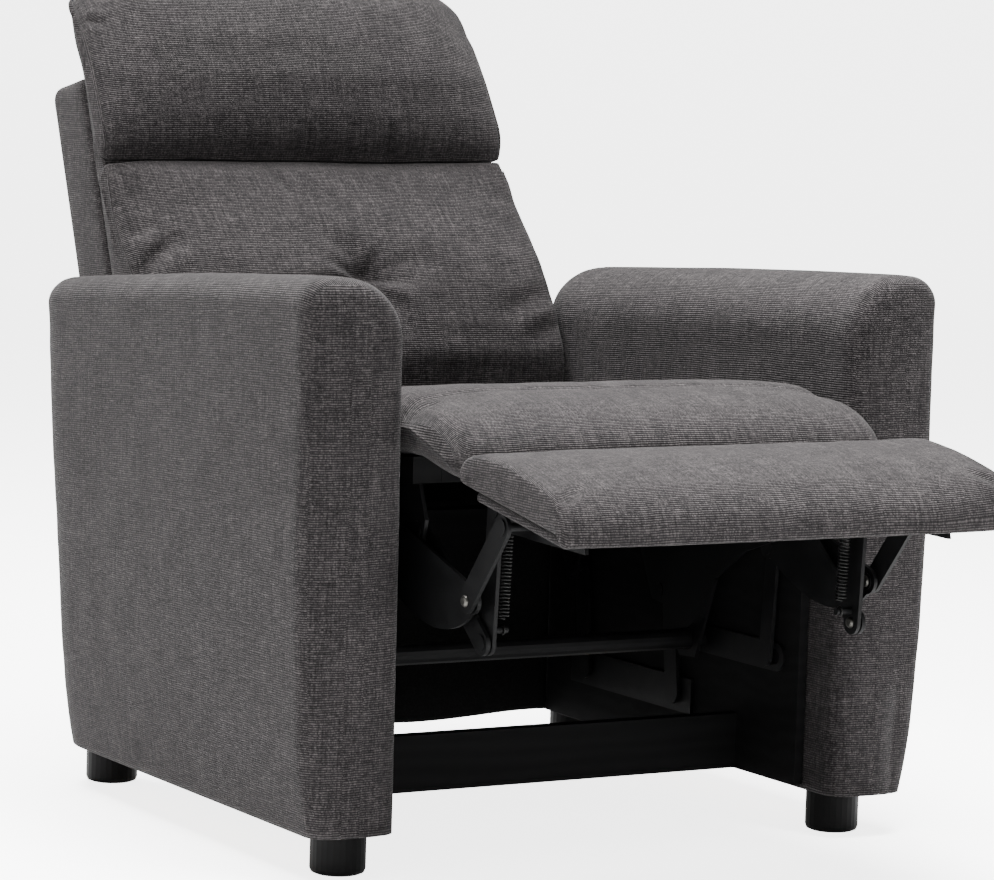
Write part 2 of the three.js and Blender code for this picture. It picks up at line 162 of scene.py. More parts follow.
# materials
class Graph:
    # A thin wrapper that adds nodes and wires them in one line.

    def __init__(self, name):
        self.material = bpy.data.materials.new(name)
        self.material.use_nodes = True
        self.tree = self.material.node_tree
        self.shader = self.tree.nodes["Principled BSDF"]

    def node(self, kind, settings=None, **inputs):
        # An input is named by its socket, or by _ and its number where two sockets share a name.
        made = self.tree.nodes.new(kind)
        for key, value in (settings or {}).items():
            setattr(made, key, value)
        for key, value in inputs.items():
            numbered = key[0] == "_" and key[1:].isdigit()
            self.feed(made.inputs[int(key[1:]) if numbered else key.replace("_", " ")], value)
        return made

    def feed(self, socket, value):
        if isinstance(value, bpy.types.NodeSocket):
            self.tree.links.new(value, socket)
        else:
            socket.default_value = value

    def math(self, operation, a, b=0.0, c=0.0):
        return self.node("ShaderNodeMath", {"operation": operation}, _0=a, _1=b, _2=c).outputs[0]

    def noise(self, vector, scale, detail=2.0, rough=0.5):
        made = self.node("ShaderNodeTexNoise", {"noise_dimensions": "3D"}, Vector=vector, Scale=scale,
                         Detail=detail, Roughness=rough)
        return made.outputs["Fac"]

    def vector(self, x, y, z=0.0):
        return self.node("ShaderNodeCombineXYZ", None, X=x, Y=y, Z=z).outputs[0]

    def stretched(self, u, v, scales, z=0.0):
        # u and v, each times its own scale.
        return self.vector(self.math("MULTIPLY", u, scales[0]), self.math("MULTIPLY", v, scales[1]), z)

    def spread(self, value, low, high):
        return self.node("ShaderNodeMapRange", None, Value=value, To_Min=low, To_Max=high).outputs[0]

    def ramp(self, value, stops):
        # Each stop is a place and a colour, or a place and one grey level.
        made = self.node("ShaderNodeValToRGB", None, Fac=value)
        marks = made.color_ramp.elements
        while len(marks) < len(stops):
            marks.new(0.5)
        for mark, (place, colour) in zip(marks, stops):
            mark.position = place
            mark.color = (*colour, 1) if hasattr(colour, "__len__") else (colour, colour, colour, 1)
        return made.outputs["Color"]

    def bump(self, height, distance, strength=1.0):
        made = self.node("ShaderNodeBump", None, Height=height, Distance=distance, Strength=strength)
        self.feed(self.shader.inputs["Normal"], made.outputs[0])

    def set(self, **values):
        for key, value in values.items():
            self.feed(self.shader.inputs[key.replace("_", " ")], value)


weave = {
    "pitch": 0.0023,  # from rib to rib
    "swayScale": 14.0, "sway": 0.004, "wanderScale": (260.0, 90.0), "wander": 0.0006,  # how the ribs stray
    "stitch": (560.0, 7.31), "runs": (75.0, 3.17), "warp": (420.0, 16.0), "warpLayer": 9.0, "blotch": 22.0,
    # the rib's share of the tone is painted shade in the hollows between the ribs
    "shares": {"rib": 0.24, "stitch": 0.62, "runs": 0.36, "warp": 0.28, "blotch": 0.16}, "shift": 0.33,
    "stops": (0.12, 0.48, 0.92),
    "dark": (0.0010, 0.0009, 0.0009), "mid": (0.0125, 0.0111, 0.0115), "light": (0.080, 0.0725, 0.0722),
    "ribHeight": 0.7, "stitchHeight": 0.8, "depth": 0.0007, "strength": 0.9,
    "finish": {"Roughness": 0.92, "Sheen_Weight": 0.05, "Sheen_Roughness": 0.45, "Specular_IOR_Level": 0.1},
}


# ribs run along u, one every pitch of v; each rib is broken into stitches of uneven tone, and the hollows between ribs
# are painted darker as painted shade
# a factor above 1 on the colours gives a lighter copy of the weave, as a painted highlight
def weaveMaterial(name, paintedHighlight=1.0):
    g = Graph(name)
    place = g.node("ShaderNodeUVMap", {"uv_map": "weave"}).outputs[0]
    split = g.node("ShaderNodeSeparateXYZ", None, Vector=place)
    u, v = split.outputs[0], split.outputs[1]
    sway = g.noise(place, weave["swayScale"], 1.0)
    wander = g.noise(g.stretched(u, v, weave["wanderScale"]), 1.0, 1.0)
    strayed = g.math("ADD", v, g.math("MULTIPLY", sway, weave["sway"]))
    strayed = g.math("ADD", strayed, g.math("MULTIPLY", wander, weave["wander"]))
    rows = g.math("DIVIDE", strayed, weave["pitch"])
    rib = g.math("MULTIPLY_ADD", g.math("SINE", g.math("MULTIPLY", rows, 2 * pi)), 0.5, 0.5)
    row = g.math("FLOOR", g.math("ADD", rows, 0.25))  # changes in the hollow between two ribs
    tones = {
        "rib": rib,
        "stitch": g.noise(g.stretched(u, row, weave["stitch"]), 1.0, 1.0),
        "runs": g.noise(g.stretched(u, row, weave["runs"]), 1.0, 2.0),
        "warp": g.noise(g.stretched(u, v, weave["warp"], weave["warpLayer"]), 1.0, 1.0),
        "blotch": g.noise(place, weave["blotch"], 3.0, 0.6),
    }
    tone = 0.0
    for part, share in weave["shares"].items():
        tone = g.math("MULTIPLY_ADD", tones[part], share, tone)
    colours = [[c * paintedHighlight for c in weave[k]] for k in ("dark", "mid", "light")]
    colour = g.ramp(g.math("SUBTRACT", tone, weave["shift"]), list(zip(weave["stops"], colours)))
    relief = g.math("MULTIPLY_ADD", tones["stitch"], weave["stitchHeight"], g.math("MULTIPLY", rib, weave["ribHeight"]))
    g.bump(relief, weave["depth"], weave["strength"])
    g.set(Base_Color=colour, **weave["finish"])
    return g.material


dustCloth = {
    "fibres": 900.0, "cells": 420.0, "fibreShare": 0.6, "cellShare": 0.5, "stops": [(0.25, 0.0012), (0.8, 0.006)],
    "finish": {"Roughness": 0.95, "Specular_IOR_Level": 0.08}, "depth": 0.0003, "strength": 0.6,
}


# thin non-woven cloth: pressed fibres with a faint bonded grid
def dustClothMaterial():
    g = Graph("dust_cloth")
    place = g.node("ShaderNodeTexCoord").outputs["Object"]
    fibres = g.noise(place, dustCloth["fibres"], 3.0, 0.7)
    cells = g.node("ShaderNodeTexVoronoi", {"feature": "F1"}, Vector=place, Scale=dustCloth["cells"])
    grid = g.math("MULTIPLY", cells.outputs["Distance"], dustCloth["cellShare"])
    tone = g.math("MULTIPLY_ADD", fibres, dustCloth["fibreShare"], grid)
    g.set(Base_Color=g.ramp(tone, dustCloth["stops"]), **dustCloth["finish"])
    g.bump(tone, dustCloth["depth"], dustCloth["strength"])
    return g.material


steel = {
    "rubbed": 38.0, "fine": 700.0, "rubbedShare": 0.82, "fineShare": 0.18, "stops": (0.32, 0.62, 0.78),
    "smoother": 0.1, "rougher": 0.16, "specular": 0.12, "fineHeight": 0.5, "depth": 0.0003, "strength": 0.5,
}


# painted, plated or bare steel: orange peel, rubbed patches, and the bump's hollows painted darker as painted shade
def steelMaterial(name, dark, pale, metallic, rough):
    g = Graph(name)
    place = g.node("ShaderNodeTexCoord").outputs["Object"]
    rubbed = g.noise(place, steel["rubbed"], 5.0, 0.65)
    fine = g.noise(place, steel["fine"], 2.0)
    tone = g.math("MULTIPLY_ADD", fine, steel["fineShare"], g.math("MULTIPLY", rubbed, steel["rubbedShare"]))
    halfway = [0.5 * (a + b) for a, b in zip(dark, pale)]
    g.set(Base_Color=g.ramp(tone, list(zip(steel["stops"], (dark, halfway, pale)))))
    roughness = g.spread(rubbed, rough - steel["smoother"], rough + steel["rougher"])
    g.set(Metallic=metallic, Roughness=roughness, Specular_IOR_Level=steel["specular"])
    # the bump rises where the tone is pale, so its hollows are the darker parts: painted shade
    g.bump(g.math("MULTIPLY_ADD", fine, steel["fineHeight"], rubbed), steel["depth"], steel["strength"])
    return g.material


board = {
    "grain": 60.0, "grainShare": 0.6, "rings": {"Scale": 18.0, "Distortion": 9.0, "Detail": 3.0}, "ringShare": 0.4,
    "stops": (0.25, 0.8), "finish": {"Roughness": 0.78, "Specular_IOR_Level": 0.08}, "depth": 0.0005, "strength": 0.5,
}


# stained or bare board: long grain along X, pores, soft wear
def boardMaterial(name, dark, pale, stretch):
    g = Graph(name)
    place = g.node("ShaderNodeTexCoord").outputs["Object"]
    laid = g.node("ShaderNodeMapping", None, Vector=place, Scale=stretch).outputs[0]
    grain = g.noise(laid, board["grain"], 6.0, 0.7)
    bands = {"wave_type": "BANDS", "bands_direction": "Z"}
    rings = g.node("ShaderNodeTexWave", bands, Vector=laid, **board["rings"]).outputs["Fac"]
    tone = g.math("MULTIPLY_ADD", grain, board["grainShare"], g.math("MULTIPLY", rings, board["ringShare"]))
    g.set(Base_Color=g.ramp(tone, list(zip(board["stops"], (dark, pale)))), **board["finish"])
    g.bump(grain, board["depth"], board["strength"])
    return g.material


plastic = {
    "grit": 1500.0, "worn": 45.0, "stops": [(0.3, 0.0012), (0.75, 0.003)], "rough": (0.36, 0.52),
    "specular": 0.07, "depth": 0.00015, "strength": 0.4,
}


# moulded plastic: fine spark texture
def plasticMaterial():
    g = Graph("leg_plastic")
    place = g.node("ShaderNodeTexCoord").outputs["Object"]
    grit = g.noise(place, plastic["grit"], 2.0)
    worn = g.noise(place, plastic["worn"], 4.0, 0.6)
    g.set(Base_Color=g.ramp(worn, plastic["stops"]), Specular_IOR_Level=plastic["specular"])
    g.set(Roughness=g.spread(worn, *plastic["rough"]))
    g.bump(grit, plastic["depth"], plastic["strength"])
    return g.material


materials = {
    "grey_fabric": weaveMaterial("grey_weave"),
    # the piping's copy of the weave is painted 15% lighter: a painted highlight on its rounded cord
    "piping": weaveMaterial("grey_piping_highlit", 1.15),
    "black_cloth": dustClothMaterial(),
    "black_steel": steelMaterial("black_steel", (0.0010, 0.0010, 0.0011), (0.0042, 0.0044, 0.0048), 0.0, 0.5),
    "zinc": steelMaterial("zinc_plate", (0.05, 0.049, 0.045), (0.14, 0.137, 0.126), 1.0, 0.4),
    "spring_steel": steelMaterial("spring_steel", (0.012, 0.012, 0.012), (0.045, 0.045, 0.043), 0.9, 0.42),
    "black_board": boardMaterial("black_board", (0.0018, 0.0018, 0.0019), (0.0036, 0.0036, 0.0038), (0.12, 1.0, 1.0)),
    "bare_wood": boardMaterial("bare_wood", (0.30, 0.17, 0.08), (0.58, 0.40, 0.22), (0.15, 0.6, 1.0)),
    "black_plastic": plasticMaterial(),
}
slotOf = {s["node"]: s["material_slot"] for s in frame["record"]["subparts"]}
for nodeName, node in frame["nodes"].items():
    node.data.materials.clear()
    node.data.materials.append(materials[slotOf[nodeName]])
print("materials are made")


# mesh helpers; shapes are worked out in millimetres and stored in metres
def mm(values):
    return np.asarray(values, float) / 1000.0


def curve(x, pairs, soften=6):
    # Straight lines between the pairs, averaged with the values `soften` to either side.
    xs, ys = np.array(pairs, float).T
    return sum(np.interp(x + d, xs, ys) for d in (-soften, 0, soften)) / 3


def ease(x, start, length):
    # 0 up to start, 1 past start + length, straight between.
    return np.clip((x - start) / length, 0, 1)


def arcLength(points):
    # The distance run along a row of points, from 0 at the first.
    return np.concatenate([[0], np.cumsum(np.linalg.norm(np.diff(points, axis=0), axis=1))])


def averaged(loop, passes):
    # Each point becomes half itself and a quarter of each neighbour, `passes` times over.
    for _ in range(passes):
        loop = 0.5 * loop + 0.25 * (np.roll(loop, 1, 0) + np.roll(loop, -1, 0))
    return loop


# even samples along a closed outline of straight runs, its corners eased by averaging;
# points is one outline (k, 2) or a row of them (k, n, 2), all sampled by the distances along the first
def evenLoop(points, count, passes=0):
    points = np.array(points, float)
    closed = np.concatenate([points, points[:1]])
    run = arcLength(closed if closed.ndim == 2 else closed[:, 0])
    at = np.linspace(0, run[-1], count, endpoint=False)
    k = np.clip(np.searchsorted(run, at, side="right") - 1, 0, len(points) - 1)
    f = ((at - run[k]) / (run[k + 1] - run[k])).reshape(-1, *[1] * (closed.ndim - 1))
    return averaged(closed[k] * (1 - f) + closed[k + 1] * f, passes)


def wobble(a, b, seed, size, waves=8):
    # The mean of a few slow waves in two coordinates, with seeded directions, phases and lengths near size.
    draw = np.random.default_rng(seed)
    total = np.zeros(np.broadcast(a, b).shape)
    for _ in range(waves):
        turn, shift = draw.uniform(0, 2 * pi, 2)
        length = size * draw.uniform(0.5, 1.6)
        total += np.sin((a * cos(turn) + b * sin(turn)) * 2 * pi / length + shift)
    return total / waves


def fold(a, b, start, end, width, depth):
    # Depth of a crease along a straight line from start to end, with a low lip on each side, fading at both ends.
    p, q = np.array(start, float), np.array(end, float)
    along = q - p
    length = np.hypot(*along)
    t = ((a - p[0]) * along[0] + (b - p[1]) * along[1]) / length**2
    off = ((a - p[0]) * along[1] - (b - p[1]) * along[0]) / length
    fade = np.clip(4 * t * (1 - t), 0, 1) * (t > 0) * (t < 1)
    lip = 0.35 * np.exp(-((np.abs(off) - 2.2 * width) / width) ** 2)
    return depth * fade**0.7 * (np.exp(-((off / width) ** 2)) - lip)


def folds(a, b, creases):
    # The creases' depths added up; each crease is a start, an end, a width and a depth.
    return sum(fold(a, b, *crease) for crease in creases)


def ripple(a, b, waves):
    # Wobbles added up; each one is a height, a seed and a size.
    return sum(height * wobble(a, b, seed, size) for height, seed, size in waves)


def makeObject(name, points, faces, uvs=None):
    mesh = bpy.data.meshes.new(name)
    mesh.from_pydata(points.reshape(-1, 3).tolist(), [], faces)
    if uvs is not None:
        layer = mesh.uv_layers.new(name="weave")
        layer.data.foreach_set("uv", np.asarray(uvs, np.float32).ravel())
    mesh.polygons.foreach_set("use_smooth", [True] * len(mesh.polygons))
    mesh.update()
    obj = bpy.data.objects.new(name, mesh)
    scene.collection.objects.link(obj)
    return obj


def facesOut(obj):
    bm = bmesh.new()
    bm.from_mesh(obj.data)
    bmesh.ops.triangulate(bm, faces=[f for f in bm.faces if len(f.verts) > 4])
    bmesh.ops.recalc_face_normals(bm, faces=bm.faces)
    if bm.calc_volume(signed=True) < 0:
        bmesh.ops.reverse_faces(bm, faces=bm.faces)
    bm.to_mesh(obj.data)
    bm.free()


def joined(name, objects):
    bm = bmesh.new()
    for obj in objects:
        bm.from_mesh(obj.data)
    mesh = bpy.data.meshes.new(name)
    bm.to_mesh(mesh)
    bm.free()
    for obj in objects:
        old = obj.data
        bpy.data.objects.remove(obj)
        bpy.data.meshes.remove(old)
    result = bpy.data.objects.new(name, mesh)
    scene.collection.objects.link(result)
    return result


def finishPiece(obj, material, body=None, nodes=()):
    obj.data.materials.clear()
    obj.data.materials.append(materials[material])
    if body:
        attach(obj, body)
    if nodes:
        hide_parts(*nodes)


# a closed tube along X: ring(x) gives the outline in (y, z) for each column of x; both ends are rounded by the
# piece's edge, then carried inwards towards its spine line by the insets, doming out by its bulge
def padGrid(ring, piece):
    half, edge, columns, cornerTurn = (piece[k] for k in ("half", "edge", "columns", "cornerTurn"))
    turn = np.linspace(0, pi / 2, cornerTurn + 1)[1:]
    deeper = np.array(piece["insets"], float)
    capInset = np.concatenate([edge * (1 - np.cos(turn)), edge + deeper])
    capReach = np.concatenate([edge * np.sin(turn), edge + piece["bulge"] * (1 - np.exp(-deeper / 14))])
    body = np.linspace(-half + edge, half - edge, columns)
    x = np.concatenate([-half + edge - capReach[::-1], body, half - edge + capReach])
    inset = np.concatenate([capInset[::-1], np.zeros(columns), capInset])
    outline = ring(np.clip(x, -half, half))
    line = np.array(piece["spine"], float)
    best = np.full(outline.shape[:2], np.inf)
    towards = np.zeros(outline.shape)
    for a, b in zip(line[:-1], line[1:]):
        ab = b - a
        t = np.clip(((outline - a) @ ab) / (ab @ ab), 0, 1)
        near = a + t[..., None] * ab
        gap = np.linalg.norm(outline - near, axis=-1)
        towards = np.where((gap < best)[..., None], near - outline, towards)
        best = np.minimum(best, gap)
    step = np.minimum(inset / np.maximum(best, 1e-6), 0.93)
    outline = outline + towards * step[..., None]
    grid = np.concatenate([np.broadcast_to(x[:, None], (*best.shape, 1)), outline], -1)
    isCap = np.zeros(len(x), bool)
    shoulder = len(capInset) - cornerTurn // 2
    isCap[:shoulder] = isCap[len(x) - shoulder:] = True
    return grid, isCap


# a tube of points, m round by n along, made a closed mesh with level ribs: u is the place along the tube and v the
# distance round its outline; on its ends u and v are the two coordinates across it, v measured from `floorLine`
def tubeMesh(name, grid, arc, onEnd, along, across, floorLine=0.0):
    m, n = grid.shape[:2]
    index = np.arange(m * n).reshape(m, n)
    i = np.repeat(np.arange(m), n - 1)
    j = np.tile(np.arange(n - 1), m)
    following = (i + 1) % m
    quads = np.stack([index[i, j], index[following, j], index[following, j + 1], index[i, j + 1]], 1)
    flat = mm(grid).reshape(-1, 3)
    corner = flat[quads]
    bodyUv = np.stack([corner[..., along], np.stack([arc[i], arc[i + 1], arc[i + 1], arc[i]], 1)], -1)
    endUv = corner[..., across] - np.array([0, floorLine])
    uv = np.where(onEnd(j)[:, None, None], endUv, bodyUv).reshape(-1, 2)
    ends = [index[::-1, 0].tolist(), index[:, n - 1].tolist()]
    closingUv = [flat[end][:, across] for end in ends]
    obj = makeObject(name, flat, quads.tolist() + ends, np.concatenate([uv, *closingUv]))
    facesOut(obj)
    return obj


# turns a padGrid into a mesh, with ribs along X on the body and along Y on the ends
def padMesh(name, grid, isCap):
    middle = mm(grid[:, grid.shape[1] // 2, 1:])
    arc = arcLength(np.vstack([middle, middle[:1]]))
    return tubeMesh(name, grid, arc, lambda j: isCap[j] & isCap[j + 1], 0, [1, 2])


# a round tube carried along a path of points (metres), each ring square to the path, closed at each end
def tube(name, path, radius, sides=10):
    path = np.asarray(path, float)
    ahead = np.gradient(path, axis=0)
    ahead /= np.linalg.norm(ahead, axis=1)[:, None]
    side = np.cross(ahead, [0.13, 0.31, 0.94])  # any direction that the path never takes
    side /= np.linalg.norm(side, axis=1)[:, None]
    up = np.cross(side, ahead)
    turn = np.linspace(0, 2 * pi, sides, endpoint=False)[:, None]
    radius = np.broadcast_to(radius, len(path))
    rings = path[:, None] + radius[:, None, None] * (side[:, None] * np.cos(turn) + up[:, None] * np.sin(turn))
    n = len(path)
    index = np.arange(n * sides).reshape(n, sides)
    i, j = np.meshgrid(np.arange(n - 1), np.arange(sides), indexing="ij")
    beside = (j + 1) % sides
    quads = np.stack([index[i, j], index[i, beside], index[i + 1, beside], index[i + 1, j]], -1).reshape(-1, 4)
    run = arcLength(path)
    girth = 2 * pi * float(radius.max()) / sides
    corners = [(run[i + di], girth * (j + dj)) for di, dj in ((0, 0), (0, 1), (1, 1), (1, 0))]
    uv = np.stack([np.stack(pair, -1) for pair in corners], -2).reshape(-1, 2)
    faces = quads.tolist() + [index[0, ::-1].tolist(), index[-1].tolist()]
    obj = makeObject(name, rings, faces, np.concatenate([uv, np.zeros((2 * sides, 2))]))
    facesOut(obj)
    return obj


# arms
arm = {
    "columns": 96, "front": -279.0, "frontBow": 2.0, "edge": 22.0, "rearEdge": 44.0, "rearTurn": 70.0,
    "rear": [(44, 321), (136, 321), (220, 325), (304, 334), (390, 345), (473, 356), (510, 359), (580, 360)],
    "low": 44.5, "top": 578.5, "drop": {-1: 35, 1: 26}, "dropPower": 1.3,
    "outer": 368.0, "taper": 21.5, "taperHeight": 95.0, "outerTurn": 28.0,
    "crown": (334, 322), "crownRise": 0.6,
    "innerTop": 258.5, "innerTurn": (60.0, 62.0), "innerLow": 254.0, "under": (262, 340),
    "insets": (8, 18, 30), "rearInset": 0.18, "dome": (2.5, 1.0),
    "spineX": (304, 318), "spineTop": 533.0, "spineFall": 44.0,
    "swell": [(1.6, 11, 240), (0.7, 21, 70)], "topSwell": (1.0, 31, 160),
}


# the outline of the arm across its width at distance t (0 front, 1 rear): up the outer side, which tapers in towards
# the floor, round a quarter circle, over the crown, round a quarter ellipse, down the inner side and along the bottom
def armLoop(t, drop=32):
    low, outer, outerTurn, innerTop = arm["low"], arm["outer"], arm["outerTurn"], arm["innerTop"]
    turnAcross, turnDown = arm["innerTurn"]
    top = arm["top"] - drop * np.clip(t, 0, 1) ** arm["dropPower"]
    climb = np.linspace(0, 1, 64)[:-1, None]
    angle = np.linspace(0, pi / 2, 14)[:, None]
    fall, down = climb[::-1], angle[::-1]

    def run(x, z):
        return np.stack(np.broadcast_arrays(x, z, t)[:2], -1)

    z = low + climb * (top - outerTurn - low)
    return np.concatenate([
        run(outer - arm["taper"] * np.exp(-(z - low) / arm["taperHeight"]), z),
        run(outer - outerTurn * (1 - np.cos(angle)), top - outerTurn + outerTurn * np.sin(angle)),
        run(np.linspace(*arm["crown"], 3)[:, None], top + arm["crownRise"]),
        run(innerTop + turnAcross * (1 - np.cos(down)), top - turnDown + turnDown * np.sin(down)),
        run(arm["innerLow"] + (innerTop - arm["innerLow"]) * fall, low + fall * (top - turnDown - low)),
        run(np.linspace(*arm["under"], 12)[:, None], low),
    ])


# the outline at each column, drawn in towards a spine where the front and the rear turn over their edges
def makeArm(name, side, which):
    count, front, rear, rearTurn = arm["columns"], arm["edge"], arm["rearEdge"], arm["rearTurn"]
    turn = np.linspace(0, pi / 2, 9)[1:]
    insets = np.array(arm["insets"])
    frontDome, rearDome = (dome * (1 - np.exp(-insets / 10)) for dome in arm["dome"])
    frontIn = np.concatenate([front * (1 - np.cos(turn)), front + insets])[::-1]
    frontOut = np.concatenate([front * np.sin(turn), front + frontDome])[::-1]
    rearIn = np.concatenate([rear * (1 - np.cos(turn)), rear + arm["rearInset"] * insets])
    rearOut = np.concatenate([rearTurn * np.sin(turn), rearTurn + rearDome])
    inset = np.concatenate([frontIn, np.zeros(count), rearIn])
    t = np.concatenate([np.zeros(len(frontIn)), np.linspace(0, 1, count), np.ones(len(rearIn))])
    loop = armLoop(t, arm["drop"][side])
    spineZ = np.minimum(loop[..., 1], arm["spineTop"] - arm["spineFall"] * t)
    towards = np.stack([np.clip(loop[..., 0], *arm["spineX"]), spineZ], -1) - loop
    far = np.maximum(np.linalg.norm(towards, axis=-1), 1e-6)
    limit = np.where(t < 0.5, 0.93, 0.96)
    loop = loop + towards * np.minimum(inset / far, limit)[..., None]
    x, z = loop[..., 0], loop[..., 1]
    frontY = arm["front"] + arm["frontBow"] * ((z - 300) / 300) ** 2
    rearY = curve(z, arm["rear"])
    k = len(frontIn)
    y = (frontY + front) * (1 - t) + (rearY - rearTurn) * t
    y[:, :k] -= frontOut
    y[:, k + count:] += rearOut
    # soft unevenness on the sides, fading out at the bottom, and on the top
    right = int(side > 0)
    swell = sum(height * wobble(y, z, seed + right, size) for height, seed, size in arm["swell"])
    x = x + np.where(x > 330, swell, -0.5 * swell) * ease(z, 60, 60)
    height, seed, size = arm["topSwell"]
    raised = z + np.where(z > 540, height * wobble(x, y, seed + right, size), 0)
    # the ribs stay level: v is the height on the sides, and the way across where the top turns over
    outline = armLoop(np.array([0.3]))[:, 0]
    arc = arcLength(np.vstack([outline, outline[:1]])) / 1000
    obj = tubeMesh(name, np.stack([x * side, y, raised], -1), arc, lambda j: (j < k - 4) | (j >= k + count + 3),
                   1, [0, 2], mm(arm["low"]))
    finishPiece(obj, "grey_fabric", "base", [f"{which}_arm_cover"])


makeArm("left_arm_padding", -1, "left")
makeArm("right_arm_padding", 1, "right")
print("arms are made")

# seat and chaise flap, one cover
seat = {
    "half": 249.0, "edge": 24.0, "columns": 110, "cornerTurn": 6, "bulge": 1.5, "insets": (5, 12),
    "spine": [(-335, 412), (-262, 436), (-150, 426), (280, 388)],
    "outline": [
        # y, z, how much higher in the middle, how much lower at the two ends
        (-352, 390, 0, 0), (-310, 397, 0, 0), (-274, 405, 0, 0), (-262, 409, 0, 0),
        (-200, 402.5, 0, 0), (0, 385.5, 0, 0), (200, 368, 0, 0), (299, 359.5, 0, 0),
        (303, 380, 0, 0), (303, 402, 0, 0), (280, 413, 1, 0), (200, 423, 2, 0), (60, 438, 3, 0), (-80, 454, 3, 0),
        (-170, 465.5, 2, 4), (-215, 471, 1, 8), (-240, 472, 0, 14), (-252, 468.5, 0, 21), (-264, 465.5, 0, 20),
        (-285, 462, 1, 10), (-310, 455, 2, 5), (-332, 444.5, 2, 3), (-350, 431.5, 1, 2), (-359, 418, 0, 0),
        (-361, 404, 0, 0), (-357, 393, 0, 0),
    ],
    "samples": 240, "passes": 10,
    "rearSpread": 0.014, "seamY": -247, "seamWidth": 2.4, "seamDepth": 3.6,
    "ripple": [(1.3, 5, 130), (0.5, 6, 45)],
    "folds": [((-242, -262), (-205, -252), 5, 3.5), ((242, -262), (200, -254), 5, 3.0)],
}


# the seat's outline at each x: the listed one, its top raised in the middle and its crest lowered at the two ends
def seatRing(x):
    w = np.abs(x) / seat["half"]
    y, z, up, down = np.array(seat["outline"], float).T[:, :, None]
    outlines = np.stack([y + 0 * x, z + up * (1 - w**4) - down * w**6], -1)
    return evenLoop(outlines, seat["samples"], seat["passes"])


def makeSeat():
    grid, isCap = padGrid(seatRing, seat)
    x, y, z = grid[..., 0], grid[..., 1], grid[..., 2]
    top = z > 412 - 0.02 * y
    x *= 1 + seat["rearSpread"] * ease(y, 60, 160)
    seam = np.exp(-((y - seat["seamY"]) / seat["seamWidth"]) ** 2)
    z -= np.where(top & (z > 440), seat["seamDepth"] * seam, 0)
    z += np.where(top, ripple(x, y, seat["ripple"]) - folds(x, y, seat["folds"]), 0)
    obj = padMesh("seat_cover", grid, isCap)
    finishPiece(obj, "grey_fabric", None, ["seat_cushion", "chaise_pad"])
    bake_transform(obj)


makeSeat()
print("seat is made")

# footrest, in a frame of its own: a backwards from its hinge, b up from the middle of its board
footrest = {
    "hinge": (-364.0, 389.0), "slope": radians(9.3),
    "half": 253.8, "edge": 6.0, "columns": 110, "cornerTurn": 6, "bulge": 2.0, "insets": (4, 9),
    "spine": [(-170, 20), (-24, 20)],
    "outline": [
        # a, b, how much higher in the middle, how much further back in the middle
        (-2, 6, 0, 0), (2, 14, 0, 0), (-1, 25, 0, 0), (-9, 33, 1, 0), (-24, 39.5, 2.5, 0), (-50, 43, 4.5, 0),
        (-90, 45, 6.5, 0), (-130, 44.5, 6, 0), (-160, 41.5, 4, 0), (-178, 35, 2, 0), (-190, 24, 1, -3),
        (-197, 12, 0, -3), (-200, 5, 0, -2), (-200, -3.5, 0, -2), (-196.5, -4.5, 0, -1), (-195, 2, 0, 0),
        (-192, 5.6, 0, 0), (-150, 5.6, 0, 0), (-80, 5.6, 0, 0), (-20, 5.6, 0, 0),
    ],
    "samples": 170, "passes": 8, "endsBack": 4.0, "rightLift": 4.5,
    "ripple": [(1.2, 8, 120), (0.5, 9, 40)],
    "folds": [((-246, -545), (-214, -520), 5, 3.2), ((246, -545), (216, -522), 5, 3.2)],
}
footBoard = {
    "half": 249, "edge": 4.0, "columns": 40, "cornerTurn": 4, "bulge": 0.2, "insets": (0.3,),
    "spine": [(-190, 0), (-40, 0)],
    "outline": [(-190, -4.6), (-30, -4.6), (-28.5, -2), (-28.5, 2), (-30, 4.9), (-190, 4.9), (-192, 2), (-192, -2)],
    "samples": 90, "passes": 1, "bow": 1.0,
}


def fromRest(a, b):
    # From the footrest's own frame to the chair's y and z.
    c, s = cos(footrest["slope"]), sin(footrest["slope"])
    y0, z0 = footrest["hinge"]
    return y0 + a * c - b * s, z0 + a * s + b * c


# the pad's outline at each x: the listed one, crowned in the middle, its front edge set back at the two ends
def footrestRing(x):
    w = np.abs(x) / footrest["half"]
    crown = 1 - w**3.5
    a, b, up, further = np.array(footrest["outline"], float).T[:, :, None]
    setBack = np.where(a < -170, footrest["endsBack"] * w**8, 0)
    outlines = np.stack(fromRest(a + further * crown + setBack, b + up * crown), -1)
    return evenLoop(outlines, footrest["samples"], footrest["passes"])


# the wrapped board under the pad: a thin slab with eased edges, its front edge bowed up a little in the middle
def footBoardRing(x):
    base = evenLoop(footBoard["outline"], footBoard["samples"], footBoard["passes"])
    a, b = base[:, :1], base[:, 1:]
    bow = footBoard["bow"] * (1 - (np.abs(x) / footBoard["half"]) ** 2)
    y, z = fromRest(a + 0 * x, b + 0 * x)
    return np.stack([y, z + ease(-a, 150, 50) * np.where(b < 0, bow, 0)], -1)


def restGrid(ring, piece):
    return padGrid(ring, {**piece, "spine": [fromRest(a, b) for a, b in piece["spine"]]})


def makeFootrest():
    grid, isCap = restGrid(footrestRing, footrest)
    x, y, z = grid[..., 0], grid[..., 1], grid[..., 2]
    high = z > 398 + 0.16 * (y + 364)
    z += np.where(high, ripple(x, y, footrest["ripple"]), 0)
    lift = footrest["rightLift"] * np.clip(x / footrest["half"], 0, 1) ** 3
    z += np.where(high, lift - folds(x, y, footrest["folds"]), 0)
    finishPiece(padMesh("footrest_cover", grid, isCap), "grey_fabric", "footrest", ["footrest_pad"])
    boardMesh = padMesh("footrest_board_cover", *restGrid(footBoardRing, footBoard))
    finishPiece(boardMesh, "grey_fabric", "footrest", ["footrest_board"])


makeFootrest()
print("footrest is made")

